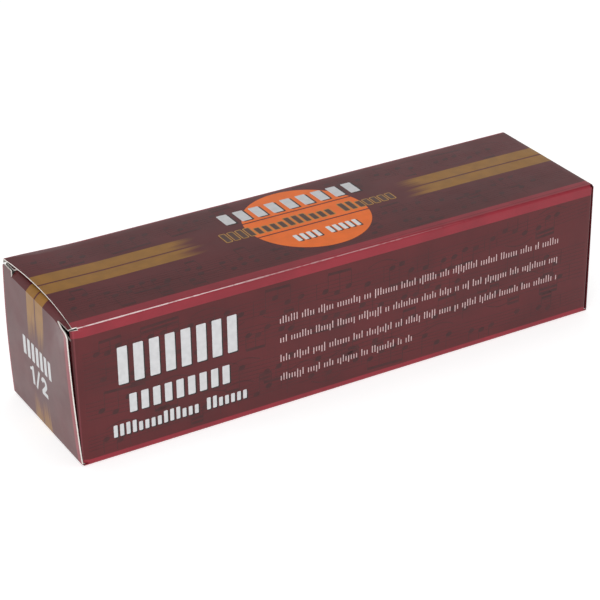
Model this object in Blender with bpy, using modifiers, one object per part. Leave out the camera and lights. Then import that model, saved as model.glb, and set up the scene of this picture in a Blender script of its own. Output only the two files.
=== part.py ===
"""A boxed violin shoulder rest: a reverse-tuck carton of folded board, and the shoulder rest packed in it.

The carton lies on its bottom panel. Its length runs along X, its front panel faces -Y, and the origin is
the middle of the bottom face. The two ends are alike: the right end is the left end turned half round about Y,
so the left lid hinges on the bottom panel and the right lid on the top panel.
"""

import math

import bmesh
import bpy
from mathutils import Matrix, Vector

MM = 0.001

# Carton
CARTON_LENGTH = 238.5 * MM
CARTON_DEPTH = 65 * MM
CARTON_HEIGHT = 60 * MM
BOARD = 0.5 * MM
FOLD_RADIUS = 1.0 * MM          # outer radius of every crease
FOLD_STEPS = 5
GAP = 0.3 * MM                  # between pieces that touch on the real object
GLUE_FLAP_WIDTH = 14 * MM
GLUE_FLAP_SETBACK = 18 * MM     # how far the glue flap stops short of each end

# Carton ends
LID_SIDE_CLEARANCE = 0.4 * MM
LID_CORNER_RADIUS = 2.5 * MM
SLIT_LENGTH = 9 * MM            # each end of the tuck crease is slit this far, which locks the lid
TUCK_BEND_RADIUS = 2.5 * MM
TUCK_SLANT = math.radians(15)   # the tuck flap dips inwards, so that it swings out past the panel over it
TUCK_LENGTH = 13 * MM
TUCK_SHOULDER = 1.5 * MM
TUCK_CORNER_RADIUS = 8 * MM
TUCK_SIDE_CLEARANCE = 2 * MM
DUST_FLAP_WIDTH = 24 * MM
DUST_FLAP_ROOT = 2.5 * MM       # from the lid's hinge to the flap's tapered edge
DUST_FLAP_TOP_CLEARANCE = 5.3 * MM
DUST_FLAP_CORNER_RADIUS = 4 * MM

# Shoulder rest: the bridge and its pad
BRIDGE_HALF_LENGTH = 95 * MM
BRIDGE_END_HEIGHT = 31 * MM     # underside of the bridge at its ends
BRIDGE_RISE = 13 * MM
BRIDGE_THICKNESS = 2.8 * MM
BRIDGE_HALF_WIDTH = 18 * MM
TONGUE_HALF_WIDTH = 10.5 * MM   # the narrow ends that hold the legs
SIDE_BOW = 5 * MM               # how far the middle bows towards the player's neck
LIP_DEPTH = 3 * MM
LIP_WIDTH = 2.2 * MM
BRIDGE_STATIONS = 36
TIP_START = 0.8 * MM            # the flat left at the tip of a rounded end
PAD_HALF_LENGTH = 57 * MM
PAD_STATIONS = 20
PAD_THICKNESS = 9.0 * MM
PAD_CROWN = 1.6 * MM            # how far the pad falls away at its edges
PAD_END_RADIUS = 12 * MM
PAD_INSET = 1.2 * MM
PAD_EDGE_RADIUS = 2.4 * MM

# Shoulder rest: legs
LEG_AT = 66.5 * MM                # distance of each leg's axis from the middle
SPARE_HOLE_AT = 82 * MM
INSERT_RADIUS = 4.4 * MM
INSERT_FLANGE_RADIUS = 5.8 * MM
INSERT_FLANGE = 1.0 * MM
INSERT_BORE_RADIUS = 2.8 * MM
BOSS_RADIUS = 7.0 * MM
BOSS_DEPTH = 3.6 * MM           # how far a boss stands below the bridge's underside
STEM_RADIUS = 2.5 * MM
STEM_TOP = 39 * MM
STEM_BOTTOM = 12.0 * MM
STEM_FLANGE_RADIUS = 4.6 * MM
STEM_FLANGE = 1.4 * MM
LOCK_NUT_RADIUS = 7.2 * MM
LOCK_NUT_HEIGHT = 4.6 * MM
LOCK_NUT_FLUTES = 20
LOCK_NUT_FLUTE_DEPTH = 0.5 * MM
FORK_BAR_HALF_LENGTH = 20 * MM  # to the axis of a prong
FORK_BAR_HALF_WIDTH = 5.2 * MM
FORK_HUB_RADIUS = 7.5 * MM
FORK_BAR_THICKNESS = 4.2 * MM
FORK_BAR_BOTTOM = 16.3 * MM
HEX_NUT_ACROSS_CORNERS = 9.2 * MM
HEX_NUT_HEIGHT = 3.0 * MM
PRONG_TILT = math.radians(24)
PRONG_RADIUS = 2.3 * MM
PRONG_LENGTH = 12.5 * MM
SLEEVE_RADIUS = 4.1 * MM
SLEEVE_LENGTH = 13.4 * MM
SLEEVE_START = 2.3 * MM         # from the bar's underside along the prong

ROUND = 28                      # sides of a turned piece
BOARD_AXES = (math.radians(90), 0, math.radians(90))  # turns a drawing's x, y and thickness to Y, Z and X

MATERIALS = {  # base colour, roughness, metallic
    "printed_board": ((0.12, 0.035, 0.04), 0.35, 0.0),
    "black_nylon": ((0.018, 0.018, 0.02), 0.45, 0.0),
    "foam": ((0.03, 0.03, 0.032), 0.95, 0.0),
    "brass": ((0.78, 0.55, 0.22), 0.28, 1.0),
    "zinc_steel": ((0.62, 0.62, 0.64), 0.3, 1.0),
    "rubber": ((0.025, 0.025, 0.026), 0.7, 0.0),
}


# ---------------------------------------------------------------- tools


def clear_scene():
    for obj in list(bpy.data.objects):
        bpy.data.objects.remove(obj, do_unlink=True)


def new_collection(name, hidden=False):
    collection = bpy.data.collections.new(name)
    bpy.context.scene.collection.children.link(collection)
    collection.hide_render = hidden
    return collection


def new_material(name):
    colour, roughness, metallic = MATERIALS[name]
    material = bpy.data.materials.new(name)
    material.use_nodes = True
    shader = material.node_tree.nodes["Principled BSDF"]
    shader.inputs["Base Color"].default_value = (*colour, 1.0)
    shader.inputs["Roughness"].default_value = roughness
    shader.inputs["Metallic"].default_value = metallic
    return material


def place(name, data, parent=None, location=(0, 0, 0), rotation=(0, 0, 0), material=None):
    """A new object of the shoulder rest or the carton."""
    obj = bpy.data.objects.new(name, data)
    parts.objects.link(obj)
    obj.parent = parent
    obj.location = location
    obj.rotation_euler = rotation
    if material:
        data.materials.append(materials[material])
    return obj


def empty(name, location=(0, 0, 0), rotation=(0, 0, 0), parent=None):
    return place(name, None, parent, location, rotation)


def arc(centre, radius, start, end, steps):
    """Points on an arc from one angle to another, both included."""
    return [
        (
            centre[0] + radius * math.cos(start + (end - start) * i / steps),
            centre[1] + radius * math.sin(start + (end - start) * i / steps),
        )
        for i in range(steps + 1)
    ]


def rounded(corners, steps=4):
    """The outline through corners given as (x, y, corner radius)."""
    outline = []
    for i, (x, y, radius) in enumerate(corners):
        corner = Vector((x, y))
        if radius == 0:
            outline.append(corner[:])
            continue
        before = Vector(corners[i - 1][:2])
        after = Vector(corners[(i + 1) % len(corners)][:2])
        back = (before - corner).normalized()
        on = (after - corner).normalized()
        half = back.angle(on) / 2
        centre = corner + (back + on).normalized() * (radius / math.sin(half))
        first = corner + back * (radius / math.tan(half)) - centre
        last = corner + on * (radius / math.tan(half)) - centre
        turn = first.angle_signed(last)
        outline += [
            (centre + Matrix.Rotation(-turn * k / steps, 2) @ first)[:] for k in range(steps + 1)
        ]
    return outline


def flat_curve(name, outlines, thickness):
    """A filled 2D curve: the first outline is the edge, and any others are holes."""
    curve = bpy.data.curves.new(name, "CURVE")
    curve.dimensions = "2D"
    curve.fill_mode = "BOTH"
    curve.extrude = thickness / 2
    for outline in outlines:
        spline = curve.splines.new("POLY")
        spline.points.add(len(outline) - 1)
        for point, (x, y) in zip(spline.points, outline):
            point.co = (x, y, 0, 1)
        spline.use_cyclic_u = True
    return curve


def screwed(obj, steps=ROUND):
    """Turns a profile about Z."""
    screw = obj.modifiers.new("turn", "SCREW")
    screw.steps = screw.render_steps = steps
    screw.use_merge_vertices = True
    screw.merge_threshold = 0.01 * MM
    screw.use_smooth_shade = True
    return obj


def profile_mesh(name, points, closed=False):
    """A line of points (radius, height); it runs down its outer side, or closes on itself for a ring."""
    mesh = bpy.data.meshes.new(name)
    count = len(points)
    edges = [(i, i + 1) for i in range(count - 1)]
    if closed:
        edges.append((count - 1, 0))
    mesh.from_pydata([(radius, 0, height) for radius, height in points], edges, [])
    return mesh


def as_mesh(obj):
    """Replaces a curve, or an object with modifiers, by the mesh that it makes."""
    bpy.context.view_layer.update()
    evaluated = obj.evaluated_get(bpy.context.evaluated_depsgraph_get())
    mesh = bpy.data.meshes.new_from_object(evaluated)
    build = bmesh.new()
    build.from_mesh(mesh)
    bmesh.ops.remove_doubles(build, verts=build.verts, dist=0.005 * MM)
    build.to_mesh(mesh)
    build.free()
    name = obj.name
    solid = place(name + "_mesh", mesh, obj.parent, obj.location, obj.rotation_euler)
    bpy.data.objects.remove(obj, do_unlink=True)
    solid.name = name
    return solid


def combine(obj, other, operation):
    """Joins another mesh object to obj, or cuts it from obj; the other one becomes a hidden helper."""
    parts.objects.unlink(other)
    helpers.objects.link(other)
    other.hide_render = True
    other.display_type = "WIRE"
    boolean = obj.modifiers.new(other.name, "BOOLEAN")
    boolean.operation = operation
    boolean.object = other
    boolean.solver = "EXACT"


def cylinder(name, radius, bottom, top, parent, location=(0, 0, 0), rotation=(0, 0, 0), top_radius=None):
    """A closed cylinder or cone along its own Z from bottom to top."""
    mesh = bpy.data.meshes.new(name)
    build = bmesh.new()
    bmesh.ops.create_cone(
        build,
        cap_ends=True,
        segments=ROUND,
        radius1=radius,
        radius2=radius if top_radius is None else top_radius,
        depth=top - bottom,
        matrix=Matrix.Translation((0, 0, (top + bottom) / 2)),
    )
    build.to_mesh(mesh)
    build.free()
    return place(name, mesh, parent, location, rotation)


# ---------------------------------------------------------------- carton walls


def board_sheet(name, grids, parent, location=(0, 0, 0), rotation=(0, 0, 0)):
    """A piece of board from its outer face. Each grid is a list of rows of points, and grids share edges."""
    build = bmesh.new()
    for grid in grids:
        rows = [[build.verts.new(point) for point in row] for row in grid]
        for row, after in zip(rows, rows[1:]):
            for i in range(len(row) - 1):
                build.faces.new((row[i], after[i], after[i + 1], row[i + 1]))
    bmesh.ops.remove_doubles(build, verts=build.verts, dist=0.005 * MM)
    mesh = bpy.data.meshes.new(name)
    build.to_mesh(mesh)
    build.free()
    obj = place(name, mesh, parent, location, rotation, "printed_board")
    solidify = obj.modifiers.new("board", "SOLIDIFY")
    solidify.thickness = BOARD
    solidify.offset = -1
    return obj


def wall(name, across, distance, turn, left, right, folds=()):
    """One panel of the sleeve, drawn as if it were the top one and swung about the carton's long axis.
    Its far side carries the crease to the next panel, and folds names the ends that carry one to a flap.
    left and right are where its flat part ends along X."""
    edge = across / 2 - FOLD_RADIUS
    inner = distance - FOLD_RADIUS
    crease = arc((edge, inner), FOLD_RADIUS, math.pi / 2, math.asin(GAP / FOLD_RADIUS), FOLD_STEPS)
    grids = [
        [[(x, y, distance) for y in (-edge, edge)] for x in (left, right)],
        [[(x, y, z) for y, z in crease] for x in (left, right)],
    ]
    if "left" in folds:
        fold = arc((left, inner), FOLD_RADIUS, math.pi, math.pi / 2, FOLD_STEPS)
        grids.append([[(x, y, z) for y in (-edge, edge)] for x, z in fold])
    if "right" in folds:
        fold = arc((right, inner), FOLD_RADIUS, math.pi / 2, 0, FOLD_STEPS)
        grids.append([[(x, y, z) for y in (-edge, edge)] for x, z in fold])
    swing = empty(name + "_fold", (0, 0, CARTON_HEIGHT / 2), (turn, 0, 0))
    board_sheet(name, grids, swing)


def build_sleeve():
    end = CARTON_LENGTH / 2
    folded_end = end - FOLD_RADIUS
    side_end = folded_end - BOARD - GAP  # the dust flaps stand just inside the lids
    quarter = math.radians(90)
    both = ("left", "right")
    wall("top_panel", CARTON_DEPTH, CARTON_HEIGHT / 2, 0, -end, folded_end, ("right",))
    wall("front_panel", CARTON_HEIGHT, CARTON_DEPTH / 2, quarter, -side_end, side_end, both)
    wall("bottom_panel", CARTON_DEPTH, CARTON_HEIGHT / 2, 2 * quarter, -folded_end, end, ("left",))
    wall("back_panel", CARTON_HEIGHT, CARTON_DEPTH / 2, 3 * quarter, -side_end, side_end, both)

    half_length = end - GLUE_FLAP_SETBACK
    crease_z = FOLD_RADIUS
    taper = GLUE_FLAP_WIDTH / 2
    outline = [
        (-half_length, crease_z),
        (half_length, crease_z),
        (half_length - taper, crease_z + GLUE_FLAP_WIDTH),
        (-half_length + taper, crease_z + GLUE_FLAP_WIDTH),
    ]
    curve = flat_curve("glue_flap", [outline], BOARD)
    y = CARTON_DEPTH / 2 - BOARD - GAP - BOARD / 2
    place("glue_flap", curve, None, (0, y, 0), (quarter, 0, 0), "printed_board")


# ---------------------------------------------------------------- carton ends


def build_lid(name, parent):
    """A lid: its panel, the bend over which it tucks in, and an ear on either side of the bend."""
    outside = -CARTON_LENGTH / 2
    half_width = CARTON_DEPTH / 2 - LID_SIDE_CLEARANCE
    half_bend = CARTON_DEPTH / 2 - SLIT_LENGTH
    foot = -CARTON_HEIGHT / 2 + FOLD_RADIUS + GAP
    ear_top = CARTON_HEIGHT / 2 - BOARD - GAP
    bend_z = ear_top - TUCK_BEND_RADIUS
    ear_side = half_bend + GAP
    columns = [-half_width, -ear_side, -half_bend, half_bend, ear_side, half_width]
    panel = [[(outside, y, z) for y in columns] for z in (foot, bend_z)]
    bend_centre = (outside + TUCK_BEND_RADIUS, bend_z)
    bend_path = arc(bend_centre, TUCK_BEND_RADIUS, math.pi, math.pi / 2 - TUCK_SLANT, FOLD_STEPS + 2)
    bend = [[(x, y, z) for y in (-half_bend, half_bend)] for x, z in bend_path]
    corner = arc(
        (half_width - LID_CORNER_RADIUS, ear_top - LID_CORNER_RADIUS),
        LID_CORNER_RADIUS,
        0,
        math.pi / 2,
        FOLD_STEPS,
    )
    left_ear = [[(outside, -y, z), (outside, -ear_side, z)] for y, z in corner]
    right_ear = [[(outside, ear_side, z), (outside, y, z)] for y, z in corner]
    board_sheet(name, [panel, bend, left_ear, right_ear], parent)


def tuck_flap_outline():
    """A tuck flap, drawn with x from its hinge: wider behind its slits, with round corners."""
    half_bend = CARTON_DEPTH / 2 - SLIT_LENGTH
    half_width = CARTON_DEPTH / 2 - TUCK_SIDE_CLEARANCE
    return rounded(
        [
            (GAP, -half_bend, 0),
            (TUCK_SHOULDER, -half_bend, 0),
            (TUCK_SHOULDER, -half_width, 0),
            (TUCK_LENGTH, -half_width, TUCK_CORNER_RADIUS),
            (TUCK_LENGTH, half_width, TUCK_CORNER_RADIUS),
            (TUCK_SHOULDER, half_width, 0),
            (TUCK_SHOULDER, half_bend, 0),
            (GAP, half_bend, 0),
        ]
    )


def dust_flap_outline():
    """A dust flap, drawn with x from its hinge and y up from the carton's middle. The edge by the lid's
    hinge is cut at 45 degrees, so that the flap can follow the lid out."""
    root = -CARTON_HEIGHT / 2 + FOLD_RADIUS + DUST_FLAP_ROOT
    top = CARTON_HEIGHT / 2 - DUST_FLAP_TOP_CLEARANCE
    return rounded(
        [
            (GAP, root, 0),
            (DUST_FLAP_WIDTH, root + DUST_FLAP_WIDTH, DUST_FLAP_CORNER_RADIUS),
            (DUST_FLAP_WIDTH, top, DUST_FLAP_CORNER_RADIUS),
            (GAP, top, 0),
        ]
    )


def build_end(side, turn):
    """The lid, tuck flap and two dust flaps of one end, drawn for the left end about the carton's middle."""
    middle = empty(side + "_end", (0, 0, CARTON_HEIGHT / 2), (0, turn, 0))
    build_lid(side + "_lid", middle)

    bend_x = -CARTON_LENGTH / 2 + TUCK_BEND_RADIUS
    bend_z = CARTON_HEIGHT / 2 - BOARD - GAP - TUCK_BEND_RADIUS
    reach = TUCK_BEND_RADIUS - BOARD / 2
    hinge = (bend_x + reach * math.sin(TUCK_SLANT), 0, bend_z + reach * math.cos(TUCK_SLANT))
    name = side + "_tuck_flap"
    curve = flat_curve(name, [tuck_flap_outline()], BOARD)
    place(name, curve, middle, hinge, (0, TUCK_SLANT, 0), "printed_board")

    flap_x = -CARTON_LENGTH / 2 + BOARD + GAP + BOARD / 2
    hinge_y = CARTON_DEPTH / 2 - FOLD_RADIUS
    for wall_name, facing in (("front", 1), ("back", -1)):
        outline = [(x * facing, y) for x, y in dust_flap_outline()]
        name = f"{side}_dust_flap_{wall_name}"
        curve = flat_curve(name, [outline], BOARD)
        place(name, curve, middle, (flap_x, -facing * hinge_y, 0), BOARD_AXES, "printed_board")


# ---------------------------------------------------------------- shoulder rest: bridge and pad


def centre_line(x):
    """Sideways place and underside height of the bridge's middle, at a place along it."""
    share = x / BRIDGE_HALF_LENGTH
    bow = SIDE_BOW * (0.6 - share**2)
    arch = 0.5 + 0.5 * math.cos(math.pi * share)
    return bow, BRIDGE_END_HEIGHT + BRIDGE_RISE * arch


def half_width(x):
    """Half the bridge's width: full in the middle, narrowing to a tongue at each end."""
    share = abs(x) / BRIDGE_HALF_LENGTH
    narrowing = 0.5 - 0.5 * math.cos(math.pi * min(1.0, max(0.0, (share - 0.3) / 0.45)))
    return BRIDGE_HALF_WIDTH + (TONGUE_HALF_WIDTH - BRIDGE_HALF_WIDTH) * narrowing


def rounding(from_end, radius):
    """How much narrower a rounded end is on each side, this far from its tip."""
    past = min(radius, max(0.0, radius - from_end))
    return radius - math.sqrt(radius**2 - past**2)


def surface(name, stations, end_radius, tip_drop, lift, inset, across):
    """An open sheet along the bridge. across lists (side, distance in from the edge, drop below the middle).
    Its ends are rounded, and the first and last stations drop by tip_drop all across."""
    build = bmesh.new()
    rows = []
    for x in stations:
        middle, height = centre_line(x)
        at_tip = x in (stations[0], stations[-1])
        narrower = rounding(stations[-1] - abs(x) + TIP_START, end_radius)
        half = half_width(x) - inset - narrower
        row = []
        for side, in_from_edge, drop in across:
            y = middle + side * max(half - in_from_edge, half * 0.4)
            row.append(build.verts.new((x, y, height + lift - max(drop, tip_drop * at_tip))))
        rows.append(row)
    for first, second in zip(rows, rows[1:]):
        for i in range(len(across) - 1):
            build.faces.new((first[i], second[i], second[i + 1], first[i + 1]))
    mesh = bpy.data.meshes.new(name)
    build.to_mesh(mesh)
    build.free()
    return mesh


def stations(half_length, rim, count):
    """Places along the bridge, closer together near the ends, with one a rim's width from each tip."""
    inner = half_length - rim
    places = [inner * math.sin(math.pi / 2 * (2 * i / count - 1)) for i in range(count + 1)]
    return [-half_length] + places + [half_length]


def build_bridge():
    lips = [(-1, 0, LIP_DEPTH), (-1, LIP_WIDTH, 0), (0, 0, 0), (1, LIP_WIDTH, 0), (1, 0, LIP_DEPTH)]
    along = stations(BRIDGE_HALF_LENGTH, LIP_WIDTH, BRIDGE_STATIONS)
    mesh = surface("bridge", along, TONGUE_HALF_WIDTH, LIP_DEPTH, 0, 0, lips)
    bridge = place("bridge", mesh, None, material="black_nylon")
    solidify = bridge.modifiers.new("wall", "SOLIDIFY")
    solidify.thickness = BRIDGE_THICKNESS
    solidify.offset = 1
    for side, sign in (("left", -1), ("right", 1)):
        for place_name, at in (("leg", LEG_AT), ("spare", SPARE_HOLE_AT)):
            x = sign * at
            y, under = centre_line(x)
            axis = (x, y, 0)
            boss_top = under + BRIDGE_THICKNESS / 2
            boss = cylinder(f"boss_{side}_{place_name}", BOSS_RADIUS, under - BOSS_DEPTH, boss_top, None, axis)
            combine(bridge, boss, "UNION")
            hole_radius = INSERT_RADIUS + GAP
            hole = cylinder(
                f"hole_{side}_{place_name}", hole_radius, under - 9 * MM, under + 9 * MM, None, axis
            )
            combine(bridge, hole, "DIFFERENCE")


def build_pad():
    crown = [(-1, 0, PAD_CROWN), (-1, 5 * MM, 0), (0, 0, 0), (1, 5 * MM, 0), (1, 0, PAD_CROWN)]
    lift = BRIDGE_THICKNESS + PAD_CROWN + GAP
    along = stations(PAD_HALF_LENGTH, PAD_EDGE_RADIUS, PAD_STATIONS)
    mesh = surface("pad", along, PAD_END_RADIUS, PAD_CROWN, lift, PAD_INSET, crown)
    pad = place("pad", mesh, None, material="foam")
    solidify = pad.modifiers.new("foam", "SOLIDIFY")
    solidify.thickness = PAD_THICKNESS
    solidify.offset = 1
    bevel = pad.modifiers.new("edge", "BEVEL")
    bevel.width = PAD_EDGE_RADIUS
    bevel.segments = 2
    bevel.limit_method = "ANGLE"
    bevel.angle_limit = math.radians(50)


def build_insert(name, x):
    """A flanged brass bush pressed into a boss from below."""
    y, under = centre_line(x)
    bottom = under - BOSS_DEPTH - GAP - INSERT_FLANGE
    shoulder = bottom + INSERT_FLANGE
    top = under + BRIDGE_THICKNESS - 0.4 * MM
    ring = [
        (INSERT_RADIUS, top),
        (INSERT_RADIUS, shoulder),
        (INSERT_FLANGE_RADIUS, shoulder),
        (INSERT_FLANGE_RADIUS, bottom),
        (INSERT_BORE_RADIUS, bottom),
        (INSERT_BORE_RADIUS, top),
    ]
    mesh = profile_mesh(name, ring, closed=True)
    screwed(place(name, mesh, None, (x, y, 0), material="brass"))


# ---------------------------------------------------------------- shoulder rest: legs


def lock_nut_outline():
    points = []
    for i in range(2 * LOCK_NUT_FLUTES):
        angle = math.pi * i / LOCK_NUT_FLUTES
        radius = LOCK_NUT_RADIUS - (i % 2) * LOCK_NUT_FLUTE_DEPTH
        points.append((radius * math.cos(angle), radius * math.sin(angle)))
    return points


def circle(radius, steps=ROUND):
    return arc((0, 0), radius, 0, 2 * math.pi * (steps - 1) / steps, steps - 1)


def fork_outline():
    """The fork's bar from above: a round hub in the middle and a round end about each prong."""
    half = []
    end = (0, FORK_BAR_HALF_LENGTH)
    waist = math.asin(FORK_BAR_HALF_WIDTH * 0.8 / FORK_HUB_RADIUS)
    half += arc(end, FORK_BAR_HALF_WIDTH, -math.pi * 0.08, math.pi * 1.08, 10)
    half += arc((0, 0), FORK_HUB_RADIUS, math.pi / 2 + waist, 3 * math.pi / 2 - waist, 8)
    return half + [(-x, -y) for x, y in half]


def build_leg(side, sign):
    """One leg. Its frame stands on the leg's axis and faces outwards along -X."""
    x = sign * LEG_AT
    y, under = centre_line(x)
    axis = empty(side + "_leg", (x, y, 0), (0, 0, 0 if sign < 0 else math.pi))

    bar_top = FORK_BAR_BOTTOM + FORK_BAR_THICKNESS
    stem = [
        (0, STEM_TOP),
        (STEM_RADIUS - 0.6 * MM, STEM_TOP),
        (STEM_RADIUS, STEM_TOP - 0.6 * MM),
        (STEM_RADIUS, bar_top + GAP + STEM_FLANGE),
        (STEM_FLANGE_RADIUS, bar_top + GAP + STEM_FLANGE),
        (STEM_FLANGE_RADIUS, bar_top + GAP),
        (STEM_RADIUS, bar_top + GAP),
        (STEM_RADIUS, STEM_BOTTOM + 0.5 * MM),
        (STEM_RADIUS - 0.5 * MM, STEM_BOTTOM),
        (0, STEM_BOTTOM),
    ]
    name = side + "_stem"
    screwed(place(name, profile_mesh(name, stem), axis, material="zinc_steel"))

    nut_top = under - BOSS_DEPTH - INSERT_FLANGE - 2 * GAP
    name = side + "_lock_nut"
    curve = flat_curve(name, [lock_nut_outline(), circle(STEM_RADIUS + GAP)], LOCK_NUT_HEIGHT)
    place(name, curve, axis, (0, 0, nut_top - LOCK_NUT_HEIGHT / 2), (0, 0, 0), "brass")

    name = side + "_fork"
    curve = flat_curve(name, [fork_outline()], FORK_BAR_THICKNESS)
    fork = as_mesh(place(name, curve, axis, (0, 0, FORK_BAR_BOTTOM + FORK_BAR_THICKNESS / 2)))
    fork.data.materials.append(materials["black_nylon"])
    for end in (-1, 1):
        prong = cylinder(
            f"{name}_prong_{'front' if end < 0 else 'back'}",
            PRONG_RADIUS,
            -FORK_BAR_THICKNESS * 0.6,
            PRONG_LENGTH,
            axis,
            (0, end * FORK_BAR_HALF_LENGTH, FORK_BAR_BOTTOM),
            (0, math.pi + PRONG_TILT, 0),
            top_radius=PRONG_RADIUS * 0.8,
        )
        combine(fork, prong, "UNION")
        build_sleeve_tube(f"{side}_sleeve_{'front' if end < 0 else 'back'}", axis, end)
    bore = cylinder(name + "_bore", STEM_RADIUS + GAP, 0, bar_top + 5 * MM, axis)
    combine(fork, bore, "DIFFERENCE")

    name = side + "_fork_nut"
    hexagon = circle(HEX_NUT_ACROSS_CORNERS / 2, 6)
    curve = flat_curve(name, [hexagon, circle(STEM_RADIUS + GAP)], HEX_NUT_HEIGHT)
    nut_z = FORK_BAR_BOTTOM - GAP - HEX_NUT_HEIGHT / 2
    place(name, curve, axis, (0, 0, nut_z), (0, 0, 0), "zinc_steel")


def build_sleeve_tube(name, axis, end):
    """A rubber tube with a round closed tip, pushed over a prong. Its profile starts at the open end."""
    bore = PRONG_RADIUS + GAP
    tip = SLEEVE_START + SLEEVE_LENGTH
    bore_end = PRONG_LENGTH + GAP
    dome = arc((0, tip - SLEEVE_RADIUS), SLEEVE_RADIUS, math.pi / 2, 0, 5)
    profile = [(0.0, tip)] + dome[1:] + [
        (SLEEVE_RADIUS, SLEEVE_START),
        (bore, SLEEVE_START),
        (bore, bore_end),
        (0, bore_end),
    ]
    mesh = profile_mesh(name, profile)
    tube = place(
        name,
        mesh,
        axis,
        (0, end * FORK_BAR_HALF_LENGTH, FORK_BAR_BOTTOM),
        (0, math.pi + PRONG_TILT, 0),
        "rubber",
    )
    screwed(tube, 20)


# ---------------------------------------------------------------- the whole


def smooth_round_pieces():
    for obj in parts.objects:
        if obj.type == "MESH":
            obj.data.shade_smooth()
            obj.data.set_sharp_from_angle(angle=math.radians(35))


def main():
    build_sleeve()
    build_end("left", 0)
    build_end("right", math.pi)
    build_bridge()
    build_pad()
    for side, sign in (("left", -1), ("right", 1)):
        build_insert(side + "_insert", sign * LEG_AT)
        build_insert(side + "_spare_insert", sign * SPARE_HOLE_AT)
        build_leg(side, sign)
    smooth_round_pieces()


clear_scene()
parts = new_collection("boxed_shoulder_rest")
helpers = new_collection("helpers")
materials = {name: new_material(name) for name in MATERIALS}
main()
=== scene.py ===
"""The boxed violin shoulder rest: printed carton board, its print, and the finishes of the rest inside.

Lengths are in metres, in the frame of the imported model: the carton's length runs along X, its front faces
-Y, and it stands on Z = 0. Each panel is drawn flat, as on the die-cut sheet, and then folded into place.
"""

import math
import random

import bmesh
import bpy
from mathutils import Matrix, Vector, geometry, noise


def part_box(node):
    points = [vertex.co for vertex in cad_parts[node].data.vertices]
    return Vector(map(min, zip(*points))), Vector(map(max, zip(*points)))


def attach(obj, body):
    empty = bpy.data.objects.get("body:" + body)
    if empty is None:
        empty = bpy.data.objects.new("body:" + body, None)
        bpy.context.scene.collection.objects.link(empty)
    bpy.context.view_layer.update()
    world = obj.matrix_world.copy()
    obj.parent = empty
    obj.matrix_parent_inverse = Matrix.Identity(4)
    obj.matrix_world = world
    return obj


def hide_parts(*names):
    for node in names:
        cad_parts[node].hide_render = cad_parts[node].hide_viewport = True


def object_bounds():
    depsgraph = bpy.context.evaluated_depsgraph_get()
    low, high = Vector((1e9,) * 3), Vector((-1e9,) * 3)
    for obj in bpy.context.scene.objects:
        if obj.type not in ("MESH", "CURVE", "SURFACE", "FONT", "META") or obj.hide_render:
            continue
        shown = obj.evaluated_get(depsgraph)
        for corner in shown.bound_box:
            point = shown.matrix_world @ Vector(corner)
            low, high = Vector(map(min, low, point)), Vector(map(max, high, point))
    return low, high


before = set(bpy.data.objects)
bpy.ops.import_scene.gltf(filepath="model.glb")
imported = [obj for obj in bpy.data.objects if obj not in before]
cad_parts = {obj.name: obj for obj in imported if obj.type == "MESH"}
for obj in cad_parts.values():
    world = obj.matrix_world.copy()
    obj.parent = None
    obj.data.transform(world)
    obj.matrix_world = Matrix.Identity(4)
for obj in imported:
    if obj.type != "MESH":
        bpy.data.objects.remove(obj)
cad_low, cad_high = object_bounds()

MM = 0.001
QUARTER = math.pi / 2

# The carton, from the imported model's box
END = cad_high.x
SIDE = cad_high.y
HEIGHT = cad_high.z
MIDDLE = HEIGHT / 2

# Board
BOARD = 0.5 * MM
FOLD_RADIUS = 1.0 * MM
FOLD_ARC = FOLD_RADIUS * QUARTER
FOLD_STEPS = 6
CRISP_BOARD = math.radians(38)
GRID = 4 * MM  # every panel and every print is divided on the same grid, so that they bend alike
WALL_SWELL = 0.25 * MM
SIDE_WALL_SETBACK = 0.8 * MM  # the dust flaps stand this far inside the lids

# Lids and flaps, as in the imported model
LID_HALF_WIDTH = SIDE - 0.4 * MM
LID_FOOT = 1.0 * MM
BEND_RADIUS = 2.5 * MM
TUCK_SLANT = math.radians(15)
EAR_TOP = HEIGHT - 0.8 * MM
BEND_Z = EAR_TOP - BEND_RADIUS
BEND_REACH = BEND_RADIUS * (1 + math.sin(TUCK_SLANT))  # from the lid's face in to the tuck flap's root
BEND_RISE = BEND_RADIUS * math.cos(TUCK_SLANT)
BEND_LENGTH = BEND_RADIUS * (QUARTER + TUCK_SLANT)
LID_FLAT = BEND_Z - LID_FOOT  # the lid's height up to its crease
TUCK_ROOT_X = -END + BEND_REACH
TUCK_ROOT_Z = BEND_Z + BEND_RISE
EAR_CORNER = {"left": 1.6 * MM, "right": 0.5 * MM}
BEND_BREAK = math.radians(40)  # how sharply the board turns at the lid's crease
BEND_PULL = 1.35 * MM
SLIT_WIDTH = 0.3 * MM
SLIT_FRONT = 22.2 * MM  # half width of the bend towards the front, where the slit has torn a little further
SLIT_BACK = 23.5 * MM
EAR_FRONT = SLIT_FRONT + SLIT_WIDTH  # where the ears begin, past the slits
EAR_BACK = SLIT_BACK + SLIT_WIDTH
TUCK_LENGTH = 13 * MM
SHOULDER_FRONT = 4.3 * MM  # how far the flap stands out past its root on either side of the bend
SHOULDER_BACK = 2.2 * MM
SHOULDER_RISE = 0.2 * MM
TUCK_HALF_WIDTH = SIDE - 2 * MM
TUCK_CORNER = 8 * MM
DUST_FLAP_WIDTH = 24 * MM
DUST_FLAP_ROOT = 3.5 * MM
DUST_FLAP_TOP = HEIGHT - 5.3 * MM
DUST_FLAP_CORNER = 4 * MM

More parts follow.
